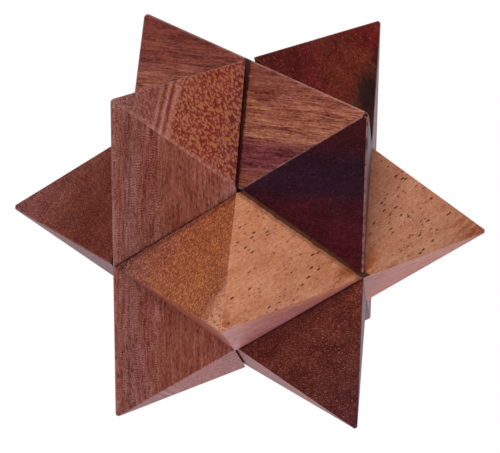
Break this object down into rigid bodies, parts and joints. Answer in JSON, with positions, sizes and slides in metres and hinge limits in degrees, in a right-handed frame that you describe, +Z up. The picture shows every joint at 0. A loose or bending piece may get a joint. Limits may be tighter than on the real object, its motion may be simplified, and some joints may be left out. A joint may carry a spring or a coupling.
{
  "type": "wooden burr puzzle",
  "caption": "Diagonal burr puzzle: identical notched hardwood sticks that interlock into a pointed star and slide apart in two halves.",
  "frame": {"origin": "centre of the footprint, on the surface that the star stands on, straight below the star's centre", "axes": "+Z up; -Y is the front; the front and back sticks stand along Z, the left and right sticks run along Y, the top and bottom sticks run along X"},
  "size_m": [0.0788, 0.0788, 0.0788],
  "materials": {
    "front_wood": "satin wax",
    "back_wood": "satin wax",
    "left_wood": "satin wax",
    "right_wood": "satin wax",
    "top_wood": "satin wax",
    "bottom_wood": "satin wax"
  },
  "bodies": {
    "bottom": {"bottom_stick": "bottom_wood"},
    "left": {"left_stick": "left_wood"},
    "front": {"front_stick": "front_wood"},
    "top": {"top_stick": "top_wood"},
    "back": {"back_stick": "back_wood"},
    "right": {"right_stick": "right_wood"}
  },
  "joints": [
    {"name": "slide_left_front_top", "type": "slide", "parent": "bottom", "child": "left", "axis": [-0.5774, -0.5774, 0.5774], "range_m": [0, 0.035]},
    {"name": "slide_front_right_top", "type": "slide", "parent": "left", "child": "front", "axis": [0.5774, -0.5774, 0.5774], "range_m": [0, 0.035]},
    {"name": "slide_back_right_top", "type": "slide", "parent": "front", "child": "top", "axis": [0.5774, 0.5774, 0.5774], "range_m": [0, 0.035]},
    {"name": "back_with_top", "type": "slide", "parent": "bottom", "child": "back", "axis": [0.5774, 0.5774, 0.5774], "range_m": [0, 0.035]},
    {"name": "right_with_front", "type": "slide", "parent": "back", "child": "right", "axis": [0.5774, -0.5774, 0.5774], "range_m": [0, 0.035]}
  ],
  "couplings": [
    {"joint": "back_with_top", "follows": "slide_back_right_top", "ratio": 1},
    {"joint": "right_with_front", "follows": "slide_front_right_top", "ratio": 1}
  ]
}
